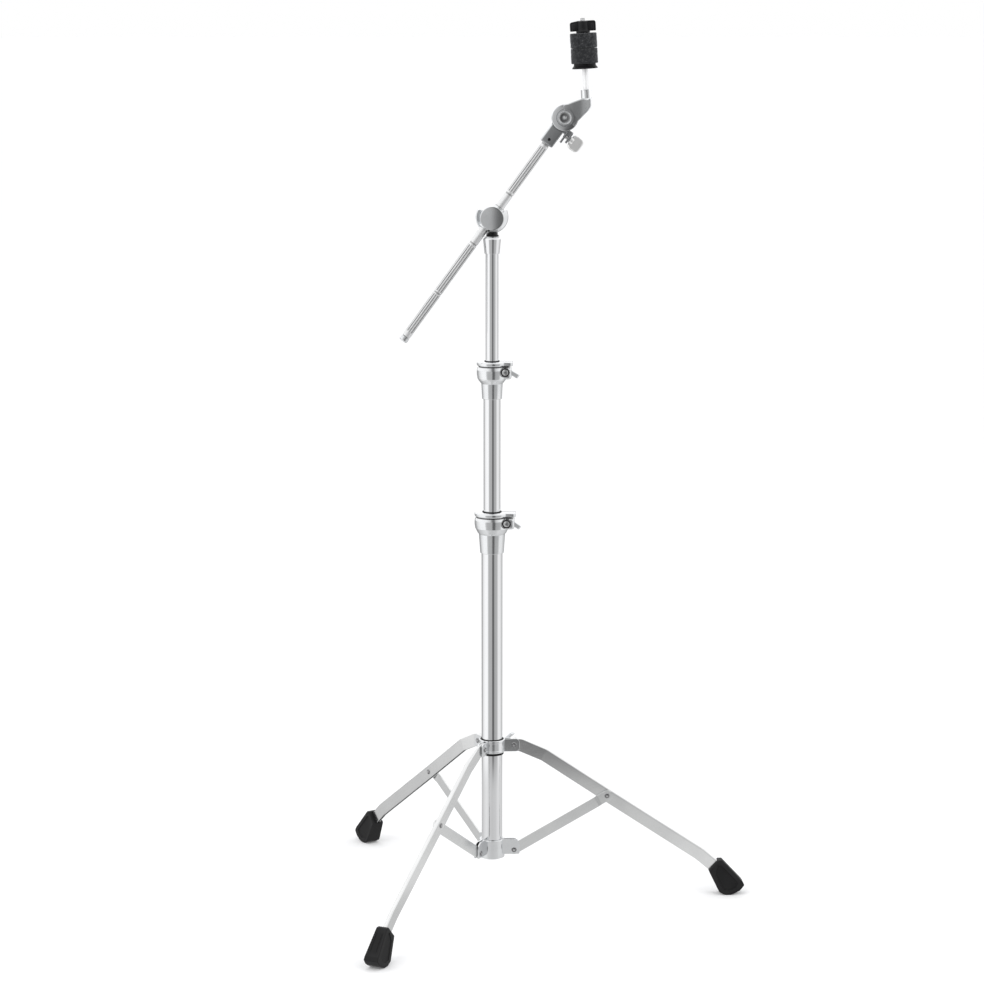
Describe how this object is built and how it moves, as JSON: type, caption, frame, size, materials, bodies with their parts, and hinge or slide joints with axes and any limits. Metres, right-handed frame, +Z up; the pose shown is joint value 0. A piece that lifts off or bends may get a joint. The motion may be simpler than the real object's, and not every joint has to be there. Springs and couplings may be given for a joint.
{
  "type": "cymbal boom stand",
  "caption": "Folding tripod stand with two telescoping tube stages, a tilting boom arm and a ratchet tilter with felts and wing nut for hanging a cymbal.",
  "frame": {"origin": "centre of the flat underside of the plug in the bottom of the lower tube, on the tube axis; the floor is 65 mm below", "axes": "+Z up along the tubes, +X along the direction the boom leans, towards the cymbal, -Y towards a viewer who sees the boom lean to the right"},
  "size_m": [0.6172, 0.6877, 1.3417],
  "materials": {
    "chrome_tube": "polished",
    "chrome_cast": "polished die casting",
    "plated_strip": "satin chrome plate",
    "rivet_steel": "satin",
    "rod_steel": "fluted, polished",
    "foot_rubber": "matt moulded",
    "black_nylon": "matt",
    "black_plastic": "satin moulded",
    "grey_felt": "pressed wool felt"
  },
  "bodies": {
    "base": {"lower_tube": "chrome_tube", "tube_end_plug": "black_plastic", "lower_leg_collar": "chrome_cast", "brace_rivet_right": "rivet_steel", "brace_rivet_rear": "rivet_steel", "brace_rivet_front": "rivet_steel", "lower_clamp_body": "chrome_cast", "lower_clamp_bolt": "chrome_cast"},
    "brace_right": {"brace_right": "plated_strip"},
    "leg_right": {"leg_right": "plated_strip", "foot_right": "foot_rubber", "leg_brace_rivet_right": "rivet_steel"},
    "upper_collar": {"upper_leg_collar": "chrome_cast", "collar_bushing": "black_nylon", "leg_rivet_right": "rivet_steel", "leg_rivet_rear": "rivet_steel", "leg_rivet_front": "rivet_steel"},
    "leg_rear": {"leg_rear": "plated_strip", "foot_rear": "foot_rubber", "leg_brace_rivet_rear": "rivet_steel"},
    "leg_front": {"leg_front": "plated_strip", "foot_front": "foot_rubber", "leg_brace_rivet_front": "rivet_steel"},
    "brace_rear": {"brace_rear": "plated_strip"},
    "brace_front": {"brace_front": "plated_strip"},
    "collar_bolt": {"collar_wing_bolt": "chrome_cast"},
    "lower_clamp_nut": {"lower_clamp_wing_nut": "chrome_cast"},
    "lower_bushing": {"lower_clamp_bushing": "black_nylon"},
    "mid_stage": {"mid_tube": "chrome_tube", "upper_clamp_body": "chrome_cast", "upper_clamp_bolt": "chrome_cast"},
    "upper_clamp_nut": {"upper_clamp_wing_nut": "chrome_cast"},
    "upper_bushing": {"upper_clamp_bushing": "black_nylon"},
    "upper_stage": {"upper_tube": "chrome_tube", "top_ferrule": "chrome_tube", "yoke_seat_ring": "black_nylon", "boom_yoke": "chrome_cast"},
    "boom_joint": {"boom_clamp": "chrome_cast", "boom_cap_disc": "chrome_cast", "boom_bolt": "rivet_steel"},
    "boom_nut": {"boom_wing_nut": "chrome_cast"},
    "boom_sleeve": {"boom_bushing": "black_nylon"},
    "boom": {"boom_rod": "rod_steel", "boom_end_cap": "chrome_cast", "tilter_base": "chrome_cast", "tilter_pivot_bolt": "chrome_cast", "tilter_pivot_nut": "chrome_cast", "tilter_set_screw": "rivet_steel", "tilter_friction_disc": "black_nylon"},
    "tilter_knob": {"tilter_clamp_knob": "chrome_cast"},
    "tilter": {"tilter_arm": "chrome_cast", "cymbal_rod": "rod_steel", "seat_washer": "black_plastic", "cymbal_sleeve": "black_nylon", "lower_felt": "grey_felt"},
    "top_felt": {"upper_felt": "grey_felt"},
    "cymbal_nut": {"cymbal_wing_nut": "black_plastic"}
  },
  "joints": [
    {"name": "tripod_fold", "type": "hinge", "parent": "base", "child": "brace_right", "pos_m": [0.03323, 0.00209, 0.0136], "axis": [0.0628, -0.998, 0], "range_deg": [-8, 52]},
    {"name": "leg_right_fold", "type": "hinge", "parent": "brace_right", "child": "leg_right", "pos_m": [0.17635, 0.0111, 0.0956], "axis": [0.0628, -0.998, 0], "range_deg": [-105, 17]},
    {"name": "collar_follow", "type": "hinge", "parent": "leg_right", "child": "upper_collar", "pos_m": [0.03323, 0.00209, 0.1776], "axis": [0.0628, -0.998, 0], "range_deg": [-9, 53]},
    {"name": "leg_rear_fold", "type": "hinge", "parent": "upper_collar", "child": "leg_rear", "pos_m": [-0.01843, 0.02774, 0.1776], "axis": [0.8329, 0.5534, 0], "range_deg": [-53, 9]},
    {"name": "brace_rear_fold", "type": "hinge", "parent": "base", "child": "brace_rear", "pos_m": [-0.01843, 0.02774, 0.0136], "axis": [0.8329, 0.5534, 0], "range_deg": [-9, 53]},
    {"name": "brace_front_fold", "type": "hinge", "parent": "base", "child": "brace_front", "pos_m": [-0.01481, -0.02983, 0.0136], "axis": [-0.8957, 0.4446, 0], "range_deg": [-9, 53]},
    {"name": "leg_front_fold", "type": "hinge", "parent": "brace_front", "child": "leg_front", "pos_m": [-0.07857, -0.15827, 0.0956], "axis": [-0.8957, 0.4446, 0], "range_deg": [-105, 17]},
    {"name": "collar_bolt_turn", "type": "hinge", "parent": "upper_collar", "child": "collar_bolt", "pos_m": [0, 0, 0.1776], "axis": [0.5736, 0.8192, 0], "continuous": true},
    {"name": "lower_clamp_nut_turn", "type": "hinge", "parent": "base", "child": "lower_clamp_nut", "pos_m": [0.0218, 0, 0.5244], "axis": [0, 1, 0], "continuous": true},
    {"name": "mid_tube_swivel", "type": "hinge", "parent": "base", "child": "lower_bushing", "pos_m": [0, 0, 0.535], "axis": [0, 0, 1], "continuous": true},
    {"name": "mid_tube_slide", "type": "slide", "parent": "lower_bushing", "child": "mid_stage", "axis": [0, 0, 1], "range_m": [-0.165, 0.14]},
    {"name": "upper_clamp_nut_turn", "type": "hinge", "parent": "mid_stage", "child": "upper_clamp_nut", "pos_m": [0.0196, 0, 0.7538], "axis": [0, 1, 0], "continuous": true},
    {"name": "upper_tube_swivel", "type": "hinge", "parent": "mid_stage", "child": "upper_bushing", "pos_m": [0, 0, 0.765], "axis": [0, 0, 1], "continuous": true},
    {"name": "upper_tube_slide", "type": "slide", "parent": "upper_bushing", "child": "upper_stage", "axis": [0, 0, 1], "range_m": [-0.15, 0.15]},
    {"name": "boom_tilt", "type": "hinge", "parent": "upper_stage", "child": "boom_joint", "pos_m": [0, 0, 0.9832], "axis": [0, 1, 0], "range_deg": [0, 80]},
    {"name": "boom_nut_turn", "type": "hinge", "parent": "upper_stage", "child": "boom_nut", "pos_m": [0, 0, 0.9832], "axis": [0, 1, 0], "continuous": true},
    {"name": "boom_twist", "type": "hinge", "parent": "boom_joint", "child": "boom_sleeve", "pos_m": [0, 0, 0.9832], "axis": [0.5878, 0, 0.809], "range_deg": [-90, 90]},
    {"name": "boom_slide", "type": "slide", "parent": "boom_sleeve", "child": "boom", "axis": [0.5878, 0, 0.809], "range_m": [-0.11, 0.18]},
    {"name": "tilter_tilt", "type": "hinge", "parent": "boom", "child": "tilter", "pos_m": [0.10756, 0, 1.13125], "axis": [0, -1, 0], "range_deg": [-60, 90]},
    {"name": "tilter_knob_turn", "type": "hinge", "parent": "boom", "child": "tilter_knob", "pos_m": [0.09463, 0, 1.11345], "axis": [0.809, 0, -0.5878], "continuous": true},
    {"name": "top_felt_lift", "type": "slide", "parent": "tilter", "child": "top_felt", "axis": [-0.0576, 0, 0.9983], "range_m": [0, 0.012]},
    {"name": "cymbal_nut_turn", "type": "hinge", "parent": "top_felt", "child": "cymbal_nut", "pos_m": [0.13856, -0.0055, 1.17245], "axis": [-0.0576, 0, 0.9983], "continuous": true}
  ],
  "couplings": [
    {"joint": "leg_right_fold", "follows": "tripod_fold", "ratio": -2},
    {"joint": "collar_follow", "follows": "tripod_fold", "ratio": 1},
    {"joint": "leg_rear_fold", "follows": "tripod_fold", "ratio": -1},
    {"joint": "leg_front_fold", "follows": "tripod_fold", "ratio": -2},
    {"joint": "brace_rear_fold", "follows": "tripod_fold", "ratio": 1},
    {"joint": "brace_front_fold", "follows": "tripod_fold", "ratio": 1}
  ]
}
